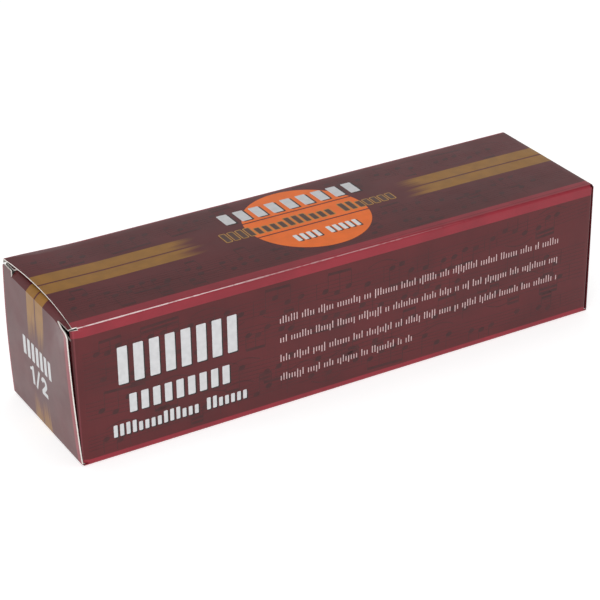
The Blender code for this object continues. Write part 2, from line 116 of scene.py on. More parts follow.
# How the lids stand off the carton
LID_LEAN_FRONT = 2.75 * MM  # at the free front corner
LID_LEAN_BACK = 0.4 * MM
LID_BELLY = 0.7 * MM
LID_LEAN_SHARE = {"left": 1.0, "right": 0.1}
LEAN_CURVE = 1.6
FREE_FROM = 12 * MM  # the lid is free in front of this line, low down
FREE_NARROWS = 28 * MM  # how far the line moves towards the front on its way up to the bend
FREE_NARROWS_FROM = 28 * MM  # the height at which it starts to move
EAR_SPLAY = 0.22
LID_HELD = 6 * MM  # the height over which the crease still holds the lid
FOLD_SPRING = 0.6  # how much of the lid's lean the front panel's side folds follow
FOLD_SPRING_REACH = 14 * MM

# The top panel's free end
RAW_EDGE_HOLLOW = 2.2 * MM
TOP_CORNER_RISE = 1.1 * MM
TOP_RISE_REACH = 34 * MM

# Print heights above the board
INK_SCORE = 0.01 * MM
INK_NOTES = 0.015 * MM
INK_UNDER = 0.02 * MM
INK_MIDDLE = 0.03 * MM
INK_OVER = 0.04 * MM
INK_ROOT = 0.05 * MM  # how deep every print is rooted in the board

# Where the print sits: the right lid carries on the top panel's print, and the left lid the bottom panel's
PRINT_SHIFT = {"right": 4.2 * MM, "left": 2.1 * MM}  # how far back the bands' middle is
STRIPS = {
    "right": [("y", -SIDE - MM, -27.4 * MM), ("y", 31.0 * MM, SIDE + MM)],
    "left": [("y", -SIDE - MM, -29.0 * MM), ("y", 31.2 * MM, SIDE + MM)],
    "upright": [("z", 55.5 * MM, HEIGHT + MM), ("z", -MM, 2.5 * MM)],
}
BAND_WIDTH = 7.2 * MM
BAND_GAP = 0.9 * MM

# Colours, linear
MAROON = (0.086, 0.006, 0.008)
STRIP = (0.245, 0.014, 0.026)
GOLD = (0.27, 0.12, 0.012)
SCORE = (0.056, 0.0072, 0.008)
CUT_EDGE = (0.78, 0.73, 0.69)
GREY_BOARD = (0.52, 0.50, 0.46)
GRUBBY_EDGE = (0.42, 0.3, 0.27)
CRACKED_FILM = (0.68, 0.53, 0.53)
# Painted shade past the front's side fold, and a painted highlight along that fold
FOLD_SHADE = (0.03, 0.003, 0.004)
PAINTED_FOLD_HIGHLIGHT = (0.3, 0.07, 0.085)
# A painted shade line along the top's front crease
PAINTED_CREASE_SHADE = (0.14, 0.003, 0.009)
FILM_SPECULAR = 0.36

# Inks: colour, how far it varies, and over what distance
INKS = {
    "silver": ((0.58, 0.58, 0.59), 0.05, 2.5 * MM),
    "shadow": ((0.012, 0.006, 0.006), 0.1, 2.5 * MM),
    "text": ((0.56, 0.4, 0.4), 0.1, 2.5 * MM),
    "score": (SCORE, 0.16, 6 * MM),
    "notes": ((0.049, 0.0064, 0.0072), 0.2, 5 * MM),
    "orange": ((0.8, 0.145, 0.006), 0.05, 6 * MM),
    "gold": ((0.42, 0.22, 0.045), 0.08, 2.5 * MM),
    "brown": ((0.075, 0.03, 0.022), 0.1, 2.5 * MM),
    "white": ((0.7, 0.7, 0.7), 0.04, 2.5 * MM),
}

# Camera
AZIMUTH = math.radians(-30.09)
ELEVATION = math.radians(28.34)
ROLL = math.radians(-0.59)
LENS = 123.06  # millimetres, on a 36 mm sensor
CAMERA_RIGHT, CAMERA_UP, CAMERA_BACK = -0.066, 0.349, 14.263  # from the origin, in carton heights


def add_object(name, data):
    thing = bpy.data.objects.new(name, data)
    bpy.context.scene.collection.objects.link(thing)
    return thing


# ---- camera


def build_camera():
    """The camera looks down on the front and left end from a little under a metre away."""
    level_back = Vector((math.sin(AZIMUTH), -math.cos(AZIMUTH), 0))
    back = math.cos(ELEVATION) * level_back + Vector((0, 0, math.sin(ELEVATION)))
    level = Vector((math.cos(AZIMUTH), math.sin(AZIMUTH), 0))
    upright = back.cross(level)
    right = math.cos(ROLL) * level + math.sin(ROLL) * upright
    up = -math.sin(ROLL) * level + math.cos(ROLL) * upright
    data = bpy.data.cameras.new("camera")
    data.sensor_width = 36
    data.lens = LENS
    camera = add_object("camera", data)
    place = HEIGHT * (CAMERA_RIGHT * right + CAMERA_UP * up + CAMERA_BACK * back)
    turn = Matrix((right, up, back)).transposed()
    camera.matrix_world = Matrix.Translation(place) @ turn.to_4x4()
    bpy.context.scene.camera = camera


# ---- materials


class Finish:
    """A material under construction: short calls that add nodes and return their outputs."""

    def __init__(self, name, roughness=0.5, metallic=0.0, specular=0.5):
        self.material = bpy.data.materials.new(name)
        self.material.use_nodes = True
        self.tree = self.material.node_tree
        self.shader = self.tree.nodes["Principled BSDF"]
        self.shader.inputs["Roughness"].default_value = roughness
        self.shader.inputs["Metallic"].default_value = metallic
        self.shader.inputs["Specular IOR Level"].default_value = specular
        self.place = self.node("TexCoord").outputs["Object"]
        self.x, self.y, self.z = self.node("SeparateXYZ", {0: self.place}).outputs

    def feed(self, socket, value):
        if isinstance(value, bpy.types.NodeSocket):
            self.tree.links.new(value, socket)
        elif socket.type == "RGBA":
            socket.default_value = (*value, 1.0)
        else:
            socket.default_value = value

    def node(self, kind, inputs=(), **settings):
        """A new node with these settings, and with values or links for its inputs."""
        node = self.tree.nodes.new("ShaderNode" + kind)
        for setting, value in settings.items():
            setattr(node, setting, value)
        for socket, value in dict(inputs).items():
            self.feed(node.inputs[socket], value)
        return node

    def maths(self, operation, first, second=0.0):
        return self.node("Math", {0: first, 1: second}, operation=operation).outputs[0]

    def product(self, first, *others):
        for other in others:
            first = self.maths("MULTIPLY", first, other)
        return first

    def ramp(self, value, start, end, low=0.0, high=1.0):
        """A smooth step from low to high as value goes from start to end."""
        inputs = {"Value": value, "From Min": start, "From Max": end, "To Min": low, "To Max": high}
        return self.node("MapRange", inputs, interpolation_type="SMOOTHSTEP").outputs[0]

    def within(self, value, start, end, soft=0.06 * MM):
        """1 between start and end, with soft edges."""
        rise = self.ramp(value, start - soft, start + soft)
        fall = self.ramp(value, end - soft, end + soft, 1.0, 0.0)
        return self.product(rise, fall)

    def mix(self, share, first, second):
        return self.node("Mix", {0: share, 6: first, 7: second}, data_type="RGBA").outputs[2]

    def stretched(self, x, y, z):
        return self.node("VectorMath", {0: self.place, 1: (x, y, z)}, operation="MULTIPLY").outputs[0]

    def noise(self, size, detail, roughness=0.5, place=None):
        """Noise from 0 to 1 whose coarsest grains are about this size."""
        inputs = {"Vector": place or self.place, "Scale": 1 / size, "Detail": detail, "Roughness": roughness}
        return self.node("TexNoise", inputs).outputs[0]

    def patches(self, size, detail, low=0.0, high=1.0):
        """Soft patches of about this size, whose value wanders from low to high."""
        return self.ramp(self.noise(size, detail), 0.3, 0.7, low, high)

    def mottled(self, size, detail, first, second):
        """Two colours in soft patches."""
        return self.mix(self.patches(size, detail), first, second)

    def bump(self, height, depth):
        """Relief of this depth."""
        return self.node("Bump", {"Distance": depth, "Strength": 1.0, "Height": height}).outputs[0]

    def done(self, colour=None, roughness=None, normal=None):
        for name, value in (("Base Color", colour), ("Roughness", roughness), ("Normal", normal)):
            if value is not None:
                self.feed(self.shader.inputs[name], value)
        return self.material


def shade(colour, factor):
    return tuple(min(1.0, channel * factor) for channel in colour)


def printed_ground(finish):
    """The maroon ground colour: cloudy, with a faint woven grain."""
    colour = finish.mottled(26 * MM, 3.0, shade(MAROON, 0.88), shade(MAROON, 1.14))
    for stretch in ((1.0, 0.06, 0.06), (0.05, 1.0, 1.0)):
        thread = finish.noise(0.9 * MM, 1.0, place=finish.stretched(*stretch))
        share = finish.ramp(thread, 0.5, 0.75, 0.0, 0.16)
        colour = finish.mix(share, colour, SCORE)
    return colour


def finish_laminate(finish, colour):
    """Adds the film's uneven gloss and slight orange peel, and closes the material."""
    peel = finish.bump(finish.noise(1.1 * MM, 2.0), 0.003 * MM)
    return finish.done(colour, finish.patches(9 * MM, 4.0, 0.3, 0.36), peel)


def printed_face(name, strips, bands=(), fade=None, extra=None):
    """Printed board. strips and bands list (coordinate, start, end). fade says where the bands show."""
    finish = Finish(name, specular=FILM_SPECULAR)
    colour = printed_ground(finish)
    axes = {"y": finish.y, "z": finish.z}
    if bands:
        present = fade(finish)
        for axis, start, end in bands:
            share = finish.product(finish.within(axes[axis], start, end), present)
            gold = finish.mottled(5 * MM, 2.0, shade(GOLD, 0.92), shade(GOLD, 1.08))
            colour = finish.mix(share, colour, gold)
    for axis, start, end in strips:
        pink = finish.mottled(14 * MM, 3.0, shade(STRIP, 0.9), shade(STRIP, 1.1))
        colour = finish.mix(finish.within(axes[axis], start, end), colour, pink)
    if extra:
        colour = extra(finish, colour)
    return finish_laminate(finish, colour)


def band_pair(shift):
    """The two bands' ranges across a panel, either side of their middle."""
    near = shift - BAND_GAP / 2
    far = shift + BAND_GAP / 2
    return [("y", near - BAND_WIDTH, near), ("y", far, far + BAND_WIDTH)]


def ragged(finish, distance, *stretch):
    """A distance made uneven by streaks, which run long where the stretch is small."""
    streak = finish.noise(1.6 * MM, 2.0, place=finish.stretched(*stretch))
    return finish.maths("ADD", distance, finish.ramp(streak, 0.25, 0.75, -3 * MM, 3 * MM))


def fade_to_middle(finish):
    """Bands that are full at the carton's ends and break into streaks towards its middle."""
    reach = ragged(finish, finish.maths("ABSOLUTE", finish.x), 0.04, 1.0, 1.0)
    return finish.ramp(reach, 46.5 * MM, 61 * MM)


def fade_on_lid(finish):
    """Bands that fade out round the middle of a lid."""
    height = ragged(finish, finish.z, 1.0, 1.0, 0.06)
    upper = finish.ramp(height, 35 * MM, 50 * MM)
    lower = finish.ramp(height, 2 * MM, 13 * MM, 0.9, 0.0)
    return finish.maths("MAXIMUM", upper, lower)


def crease_wear_and_painted_light(finish, colour):
    """The front's creases: cracked white along the top, scuffed where they meet, with painted shade and a
    painted highlight down the left.
    """
    across = finish.maths("ADD", finish.y, SIDE - 0.3 * MM)
    up = finish.maths("SUBTRACT", finish.z, HEIGHT - 0.3 * MM)
    squares = [finish.maths("POWER", distance, 2) for distance in (across, up)]
    off = finish.maths("SQRT", finish.maths("ADD", *squares))
    waver = finish.patches(7 * MM, 3.0, -0.07 * MM, 0.07 * MM)
    line = finish.ramp(finish.maths("ADD", off, waver), 0.13 * MM, 0.32 * MM, 1.0, 0.0)
    breaks = finish.ramp(finish.noise(2.2 * MM, 3.0), 0.3, 0.5, 0.45, 1.0)
    left = finish.ramp(finish.x, -70 * MM, -30 * MM, 1.0, 0.42)
    right = finish.ramp(finish.x, 0, 60 * MM, 1.0, 0.06)
    colour = finish.mix(finish.product(line, breaks, left, right), colour, CRACKED_FILM)
    # Painted shade just past the front's left fold, darkest at its edge, then a painted highlight along the
    # fold
    side = finish.maths("ADD", finish.maths("ADD", finish.x, END), finish.product(finish.z, 0.01))
    colour = finish.mix(finish.ramp(side, 0.1 * MM, 0.6 * MM, 0.5, 0.0), colour, FOLD_SHADE)
    painted_highlight = finish.product(finish.within(side, 0.65 * MM, 1.05 * MM, 0.12 * MM), 0.32)
    colour = finish.mix(painted_highlight, colour, PAINTED_FOLD_HIGHLIGHT)
    scuff = finish.ramp(finish.noise(0.8 * MM, 4.0), 0.46, 0.56)
    at_end = finish.ramp(finish.product(finish.x, -1.0), END - 3.2 * MM, END - 1.4 * MM)
    at_crease = finish.ramp(off, 0.3 * MM, 1.1 * MM, 1.0, 0.0)
    return finish.mix(finish.product(scuff, at_end, at_crease), colour, CUT_EDGE)


def top_crease_painted_shade(finish, colour):
    """A painted shade line along the top's front edge, which shows more towards the right."""
    # The painted shade lies in a narrow band just inside the crease
    score = finish.within(finish.y, -30.3 * MM, -29.85 * MM, 0.14 * MM)
    share = finish.product(score, finish.ramp(finish.x, -10 * MM, 45 * MM, 0.12, 0.85))
    return finish.mix(share, colour, PAINTED_CREASE_SHADE)


def bleed_only(inner_edge):
    """A dust flap's print stops a little way past its fold, and the rest is bare coated board."""

    def apply(finish, colour):
        bare = finish.mottled(3 * MM, 4.0, (0.66, 0.65, 0.63), (0.74, 0.73, 0.71))
        distance = finish.maths("ABSOLUTE", finish.y)
        unprinted = finish.ramp(distance, inner_edge - 0.1 * MM, inner_edge + 0.1 * MM, 1.0, 0.0)
        return finish.mix(unprinted, colour, bare)

    return apply


def darkened_at_front_right(finish, colour, also=0.0):
    """Darkens raw board to a deep strip colour at the front's right end, and wherever also is 1 along the
    front.
    """
    front = finish.ramp(finish.y, -SIDE + 1.7 * MM, -SIDE + 2.1 * MM, 1.0, 0.0)
    right = finish.ramp(finish.x, END - 2.4 * MM, END - 2.0 * MM)
    share = finish.product(front, finish.maths("MAXIMUM", right, also))
    return finish.mix(share, colour, shade(STRIP, 0.35))


def cut_edge_finish():
    """Raw cut board: pale fibres, a little grubby in places."""
    finish = Finish("cut_board", roughness=0.85, specular=0.2)
    fibres = finish.patches(0.5 * MM, 4.0)
    colour = finish.mix(fibres, shade(CUT_EDGE, 0.86), shade(CUT_EDGE, 1.08))
    grubby = finish.ramp(finish.noise(6 * MM, 3.0), 0.55, 0.75, 0.0, 0.35)
    colour = finish.mix(grubby, colour, GRUBBY_EDGE)
    # The raw edges are darkened at the front's right end and along the foot of the front
    colour = darkened_at_front_right(finish, colour, finish.ramp(finish.z, 1.05 * MM, 1.25 * MM, 1.0, 0.0))
    return finish.done(colour, 0.85, finish.bump(fibres, 0.03 * MM))


def inner_board_finish():
    """The unprinted inside: grey-white recycled board with dark flecks."""
    finish = Finish("inner_board", roughness=0.9, specular=0.2)
    colour = finish.mottled(8 * MM, 4.0, shade(GREY_BOARD, 0.92), shade(GREY_BOARD, 1.06))
    fleck = finish.ramp(finish.noise(0.7 * MM, 2.0), 0.68, 0.74, 0.0, 0.55)
    # Painted shade: the inside board is darkened at the front's right end, where it lies in the gap behind
    # the front's fold
    colour = darkened_at_front_right(finish, finish.mix(fleck, colour, (0.2, 0.18, 0.16)))
    fibre = finish.noise(0.6 * MM, 3.0, place=finish.stretched(0.25, 1.0, 1.0))
    return finish.done(colour, 0.9, finish.bump(fibre, 0.03 * MM))


def ink_finish(name, colour, variation, grain):
    """A solid ink under the film, with the slight unevenness of offset print."""
    finish = Finish(name, specular=FILM_SPECULAR)
    uneven = finish.mottled(grain, 4.0, shade(colour, 1 - variation), shade(colour, 1 + variation))
    return finish_laminate(finish, uneven)


def nylon_finish():
    """Moulded glass-filled nylon with a fine spark-eroded texture."""
    finish = Finish("moulded_nylon", specular=0.45)
    colour = finish.mottled(12 * MM, 3.0, (0.011, 0.011, 0.012), (0.019, 0.019, 0.021))
    texture = finish.noise(0.35 * MM, 3.0, 0.6)
    gloss = finish.ramp(texture, 0.3, 0.7, 0.36, 0.52)
    return finish.done(colour, gloss, finish.bump(texture, 0.03 * MM))


def foam_finish():
    """Closed-cell foam: matt, with small open pores on its skin."""
    finish = Finish("closed_cell_foam", specular=0.25)
    cells = finish.node("TexVoronoi", {"Scale": 1 / (0.9 * MM), "Vector": finish.place})
    pore = finish.ramp(cells.outputs["Distance"], 0.05, 0.45)
    skin = finish.mottled(9 * MM, 3.0, (0.02, 0.02, 0.021), (0.034, 0.034, 0.036))
    colour = finish.mix(pore, (0.006, 0.006, 0.006), skin)
    return finish.done(colour, 0.93, finish.bump(pore, 0.12 * MM))


def rubber_finish():
    """Soft rubber tube: satin, with faint dust."""
    finish = Finish("soft_rubber", specular=0.4)
    dust = finish.ramp(finish.noise(2.5 * MM, 5.0), 0.5, 0.72, 0.0, 0.5)
    colour = finish.mix(dust, (0.017, 0.017, 0.018), (0.05, 0.048, 0.046))
    gloss = finish.patches(4 * MM, 3.0, 0.55, 0.72)
    return finish.done(colour, gloss, finish.bump(finish.noise(0.5 * MM, 2.0), 0.02 * MM))


def metal_finish(name, colour, tarnish, roughness):
    """Turned metal: rings from the tool, and darker where it has been handled."""
    finish = Finish(name, metallic=1.0)
    stain = finish.ramp(finish.noise(3 * MM, 4.0), 0.5, 0.75, 0.0, 0.6)
    base = finish.mix(stain, colour, tarnish)
    rings = finish.noise(0.25 * MM, 2.0, place=finish.stretched(0.1, 0.1, 1.0))
    gloss = finish.ramp(stain, 0.0, 0.6, roughness, roughness + 0.16)
    return finish.done(base, gloss, finish.bump(rings, 0.012 * MM))


# ---- flat drawings


def rounded_outline(corners, steps=6):
    """The outline through corners given as (x, y, corner radius)."""
    outline = []
    for i, (x, y, radius) in enumerate(corners):
        corner = Vector((x, y))
        if radius == 0:
            outline.append((x, y))
            continue
        before = Vector(corners[i - 1][:2])
        after = Vector(corners[(i + 1) % len(corners)][:2])
        back = (before - corner).normalized()
        on = (after - corner).normalized()
        half = back.angle(on) / 2
        centre = corner + (back + on).normalized() * (radius / math.sin(half))
        reach = radius / math.tan(half)
        first = corner + back * reach - centre
        last = corner + on * reach - centre
        turn = first.angle_signed(last)
        for k in range(steps + 1):
            point = centre + Matrix.Rotation(-turn * k / steps, 2) @ first
            outline.append((point.x, point.y))
    return outline


def block(left, low, right, high, radius=0.0):
    """An upright bar, with rounded corners if it has a radius."""
    corners = [(left, low), (right, low), (right, high), (left, high)]
    return rounded_outline([(x, y, radius) for x, y in corners], 3)


def shifted(outlines, dx, dy):
    return [[(x + dx, y + dy) for x, y in outline] for outline in outlines]


def ellipse(x, y, length, width, tilt, steps=14):
    points = []
    for i in range(steps):
        angle = 2 * math.pi * i / steps
        along = length / 2 * math.cos(angle)
        across = width / 2 * math.sin(angle)
        dx = along * math.cos(tilt) - across * math.sin(tilt)
        dy = along * math.sin(tilt) + across * math.cos(tilt)
        points.append((x + dx, y + dy))
    return points


def ribbon(points, width):
    """A line of even width through the points, as one four-sided outline for each step."""
    left, right = [], []
    for i, (x, y) in enumerate(points):
        before = Vector(points[max(i - 1, 0)])
        after = Vector(points[min(i + 1, len(points) - 1)])
        along = (after - before).normalized()
        dx = along.y * width / 2
        dy = along.x * width / 2
        left.append((x - dx, y + dy))
        right.append((x + dx, y - dy))
    return [[right[i], right[i + 1], left[i + 1], left[i]] for i in range(len(points) - 1)]


def convex_parts(outline):
    if len(outline) <= 4:
        return [outline]
    corners = [Vector((x, y, 0)) for x, y in outline]
    return [[outline[i] for i in triangle] for triangle in geometry.tessellate_polygon([corners])]


def split(polygon, axis, line):
    """A convex polygon cut along a line: what lies on its low side and on its high side."""
    low, high = [], []
    for i, point in enumerate(polygon):
        after = polygon[(i + 1) % len(polygon)]
        if point[axis] <= line:
            low.append(point)
        if point[axis] >= line:
            high.append(point)
        if (point[axis] - line) * (after[axis] - line) < 0:
            a, b = sorted((point, after))
            share = (line - a[axis]) / (b[axis] - a[axis])
            other = a[1 - axis] + (b[1 - axis] - a[1 - axis]) * share
            cut = (line, other) if axis == 0 else (other, line)
            low.append(cut)
            high.append(cut)
    return low, high


def divided(polygon, axis, lines):
    """A convex polygon divided along all of these lines."""
    pieces = []
    rest = polygon
    for line in lines:
        if min(p[axis] for p in rest) < line < max(p[axis] for p in rest):
            low, rest = split(rest, axis, line)
            pieces.append(low)
    return pieces + [rest]


def flat_sheet(outlines, cuts_u, cuts_v):
    """The outlines as one flat mesh, divided along the given lines: its points, faces and outer edges."""
    index = {}
    faces = []
    uses = {}
    for outline in outlines:
        for part in convex_parts(outline):
            for strip in divided(part, 0, cuts_u):
                for cell in divided(strip, 1, cuts_v):
                    face = [index.setdefault(point, len(index)) for point in dict.fromkeys(cell)]
                    if len(face) > 2:
                        faces.append(face)
    for face in faces:
        for a, b in zip(face, face[1:] + face[:1]):
            uses.setdefault(frozenset((a, b)), []).append((a, b))
    edges = [used[0] for used in uses.values() if len(used) == 1]
    return list(index), faces, edges


def grid_lines(low, high):
    first = math.ceil(low / GRID)
    last = math.floor(high / GRID)
    return [i * GRID for i in range(first, last + 1)]


def fold_lines(start, length, steps=FOLD_STEPS):
    return [start + length * i / steps for i in range(steps + 1)]


def add_piece(name, solid, finishes, crisp, body):
    """Makes a piece of a finished solid: edges that turn by more than the crisp angle stay sharp."""
    bmesh.ops.recalc_face_normals(solid, faces=solid.faces)
    mesh = bpy.data.meshes.new(name)
    solid.to_mesh(mesh)
    solid.free()
    for finish in finishes:
        mesh.materials.append(finish)
    mesh.shade_smooth()
    mesh.set_sharp_from_angle(angle=crisp)
    piece = add_object(name, mesh)
    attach(piece, body)
    return piece


def slab(name, outlines, panel, outer, inner, finishes):
    """A closed sheet on a panel between two depths below its face. finishes are for face, back and edge."""
    points, faces, edges = flat_sheet(outlines, panel.cuts_u, panel.cuts_v)
    solid = bmesh.new()
    face_side, back_side = (
        [solid.verts.new(panel.place(u, v, depth)) for u, v in points] for depth in (outer, inner)
    )
    for face in faces:
        solid.faces.new([face_side[i] for i in face]).material_index = 0
        solid.faces.new([back_side[i] for i in reversed(face)]).material_index = 1
    for a, b in edges:
        solid.faces.new((face_side[a], face_side[b], back_side[b], back_side[a])).material_index = 2
    return add_piece(name, solid, finishes, CRISP_BOARD, panel.body)


# ---- panels


def bent(distance, depth):
    """Where a folded sheet lies past the start of a fold: (along, outwards) for a point this deep in it."""
    turned = min(distance / FOLD_RADIUS, QUARTER)
    past = distance - turned * FOLD_RADIUS
    radius = FOLD_RADIUS - depth
    along = radius * math.sin(turned) + past * math.cos(turned)
    outwards = radius * math.cos(turned) - FOLD_RADIUS - past * math.sin(turned)
    return along, outwards


class Wall:
    """One of the four long panels, drawn as if it were the top one and swung about the carton's long axis."""

    body = "carton"

    def __init__(self, across, distance, turn, left, right, folds, rises=False, ends=None):
        self.half = across / 2 - FOLD_RADIUS
        self.distance = distance
        self.left = left
        self.right = right
        self.folds = folds
        self.rises = rises
        self.ends = ends or {}
        self.swing = Matrix.Translation((0, 0, MIDDLE)) @ Matrix.Rotation(turn, 4, "X")
        left_fold = fold_lines(left - FOLD_ARC, FOLD_ARC)
        self.cuts_u = grid_lines(left, right) + left_fold + fold_lines(right, FOLD_ARC)
        self.cuts_v = grid_lines(-self.half, self.half) + fold_lines(self.half, FOLD_ARC)

    def outline(self):
        low, high = -self.half, self.half
        far_left = self.left - FOLD_ARC * ("left" in self.folds)
        far_right = self.right + FOLD_ARC * ("right" in self.folds)
        points = [(far_left, low), (far_right, low)]
        if "right" not in self.folds:
            points += self.hollow(self.right, -RAW_EDGE_HOLLOW)
        points.append((far_right, high))
        points += [(self.right, high)] * ("right" in self.folds)
        points += [(self.right, high + FOLD_ARC), (self.left, high + FOLD_ARC)]
        points += [(self.left, high)] * ("left" in self.folds)
        points.append((far_left, high))
        if "left" not in self.folds:
            points += reversed(self.hollow(self.left, RAW_EDGE_HOLLOW))
        return points

    def hollow(self, end, depth, steps=16):
        """A raw end, curved in towards its middle."""
        levels = [self.half * (2 * i / steps - 1) for i in range(1, steps)]
        return [(end + depth * (1 - (v / self.half) ** 2), v) for v in levels]

    def rise(self, u, v):
        """The top panel's free end lifts towards its far corner."""
        if not self.rises:
            return 0.0
        lift = TOP_CORNER_RISE * smooth_step((v + self.half) / (2 * self.half))
        past_fold = max(0.0, v - self.half) / FOLD_ARC
        return lift * (1 - smooth_step((u + END) / TOP_RISE_REACH)) * (1 - past_fold)

    def place(self, u, v, depth):
        side, end, outwards = ("right", self.right, 1) if u > 0 else ("left", self.left, -1)
        past_end = outwards * (u - end)
        if v > self.half:
            along, out = bent(v - self.half, depth)
            point = (u, self.half + along, out + self.rise(u, v))
        elif past_end > 0 and side in self.folds:
            along, out = bent(past_end, depth)
            if side in self.ends:
                along += self.ends[side].spring(MIDDLE + v) * past_end / FOLD_ARC
            point = (end + outwards * along, v, out)
        else:
            share_u = 1 - min(1.0, abs(u) / self.right) ** 4
            share_v = 1 - min(1.0, abs(v) / self.half) ** 2
            point = (u, v, WALL_SWELL * share_u * share_v + self.rise(u, v) - depth)
        return self.swing @ Vector((point[0], point[1], self.distance + point[2]))


def smooth_step(value):
    value = min(1.0, max(0.0, value))
    return value * value * (3 - 2 * value)


class End:
    """The lid, tuck flap and dust flaps of one end, drawn for the left end about the carton's middle."""

    def __init__(self, side):
        self.side = side
        self.lean_share = LID_LEAN_SHARE[side]
        turn = 0 if side == "left" else math.pi
        self.swing = Matrix.Translation((0, 0, MIDDLE)) @ Matrix.Rotation(turn, 4, "Y")

    def lean(self, y, z):
        """How far the lid stands off the carton: its front corner is free and its back edge is held."""
        share = z / EAR_TOP
        front = LID_LEAN_FRONT * (1 - (1 - min(1.0, share)) ** LEAN_CURVE)
        back = LID_BELLY * math.sin(math.pi * min(1.0, share)) + LID_LEAN_BACK * share
        narrowed = smooth_step((z - FREE_NARROWS_FROM) / (BEND_Z - FREE_NARROWS_FROM))
        start = FREE_FROM - FREE_NARROWS * narrowed
        free = smooth_step((start - y) / (start + LID_HALF_WIDTH))
        lean = back + (front - back) * free
        if y < -SLIT_FRONT - SLIT_WIDTH / 2:
            lean += EAR_SPLAY * max(0.0, z - BEND_Z)
        return lean * self.lean_share * smooth_step(z / LID_HELD)

    def spring(self, z):
        """How far the front panel's side fold stands out after the lid at this height."""
        return FOLD_SPRING * self.lean(-LID_HALF_WIDTH, z)

    def world(self, x, y, z):
        return self.swing @ Vector((x, y, z - MIDDLE))


class Lid(End):
    def __init__(self, side):
        super().__init__(side)
        self.body = side + "_lid"
        root = Vector((BEND_REACH, BEND_RISE))
        first = Vector((math.sin(BEND_BREAK), math.cos(BEND_BREAK))) * BEND_PULL
        last = Vector((math.cos(TUCK_SLANT), -math.sin(TUCK_SLANT))) * BEND_PULL
        self.bend_path = (Vector((0, 0)), first, root - last, root)
        self.cuts_u = grid_lines(-LID_HALF_WIDTH, LID_HALF_WIDTH)
        self.cuts_v = grid_lines(0, LID_FLAT) + fold_lines(LID_FLAT, BEND_LENGTH, 10)

    def outline(self):
        top = EAR_TOP - LID_FOOT
        corner = EAR_CORNER[self.side]
        bend_end = LID_FLAT + BEND_LENGTH
        corners = [(-LID_HALF_WIDTH, 0, 0), (LID_HALF_WIDTH, 0, 0), (LID_HALF_WIDTH, top, corner)]
        corners += [(EAR_BACK, top, 0), (EAR_BACK, LID_FLAT, 0)]
        corners += [(SLIT_BACK, LID_FLAT, 0), (SLIT_BACK, bend_end, 0)]
        corners += [(-SLIT_FRONT, bend_end, 0), (-SLIT_FRONT, LID_FLAT, 0)]
        corners += [(-EAR_FRONT, LID_FLAT, 0), (-EAR_FRONT, top, 0), (-LID_HALF_WIDTH, top, corner)]
        return rounded_outline(corners)

    def over_bend(self, share, depth):
        """The bend from its crease to the tuck flap: it breaks sharply at the crease and then curves over."""
        start, first, last, root = self.bend_path
        rest = 1 - share
        point = rest**3 * start + 3 * rest**2 * share * first + 3 * rest * share**2 * last + share**3 * root
        along = rest**2 * (first - start) + 2 * rest * share * (last - first) + share**2 * (root - last)
        along.normalize()
        return point.x + along.y * depth, point.y - along.x * depth

    def place(self, u, v, depth):
        in_bend = -SLIT_FRONT - SLIT_WIDTH / 2 < u < SLIT_BACK + SLIT_WIDTH / 2
        if v > LID_FLAT and in_bend:
            share = (v - LID_FLAT) / BEND_LENGTH
            inwards, up = self.over_bend(share, depth)
            settle = 1 - smooth_step(share)
            return self.world(-END + inwards - self.lean(u, BEND_Z) * settle, u, BEND_Z + up)
        z = LID_FOOT + v
        return self.world(-END + depth - self.lean(u, z), u, z)


class TuckFlap(End):
    def __init__(self, side):
        super().__init__(side)
        self.body = side + "_tuck_flap"
        self.front_shoulder = SHOULDER_BACK + (SHOULDER_FRONT - SHOULDER_BACK) * self.lean_share
        self.cuts_u = fold_lines(-self.front_shoulder, self.front_shoulder, 5) + grid_lines(GRID, TUCK_LENGTH)
        self.cuts_v = grid_lines(-TUCK_HALF_WIDTH, TUCK_HALF_WIDTH)

    def outline(self):
        shoulder = -self.front_shoulder
        corners = [(0, -SLIT_FRONT, 0), (0, -EAR_FRONT, 0), (shoulder, -EAR_FRONT, 0)]
        corners += [(shoulder, -TUCK_HALF_WIDTH, 0), (TUCK_LENGTH, -TUCK_HALF_WIDTH, TUCK_CORNER)]
        corners += [(TUCK_LENGTH, TUCK_HALF_WIDTH, TUCK_CORNER), (-SHOULDER_BACK, TUCK_HALF_WIDTH, 0)]
        corners += [(-SHOULDER_BACK, EAR_BACK, 0), (0, EAR_BACK, 0), (0, SLIT_BACK, 0)]
        return rounded_outline(corners)

    def place(self, u, v, depth):
        if u < 0:
            rise = SHOULDER_RISE * math.sin(-math.pi * u / self.front_shoulder)
            return self.world(TUCK_ROOT_X + u, v, TUCK_ROOT_Z + rise - depth)
        x = TUCK_ROOT_X + u * math.cos(TUCK_SLANT) - depth * math.sin(TUCK_SLANT)
        z = TUCK_ROOT_Z - u * math.sin(TUCK_SLANT) - depth * math.cos(TUCK_SLANT)
        return self.world(x, v, z)


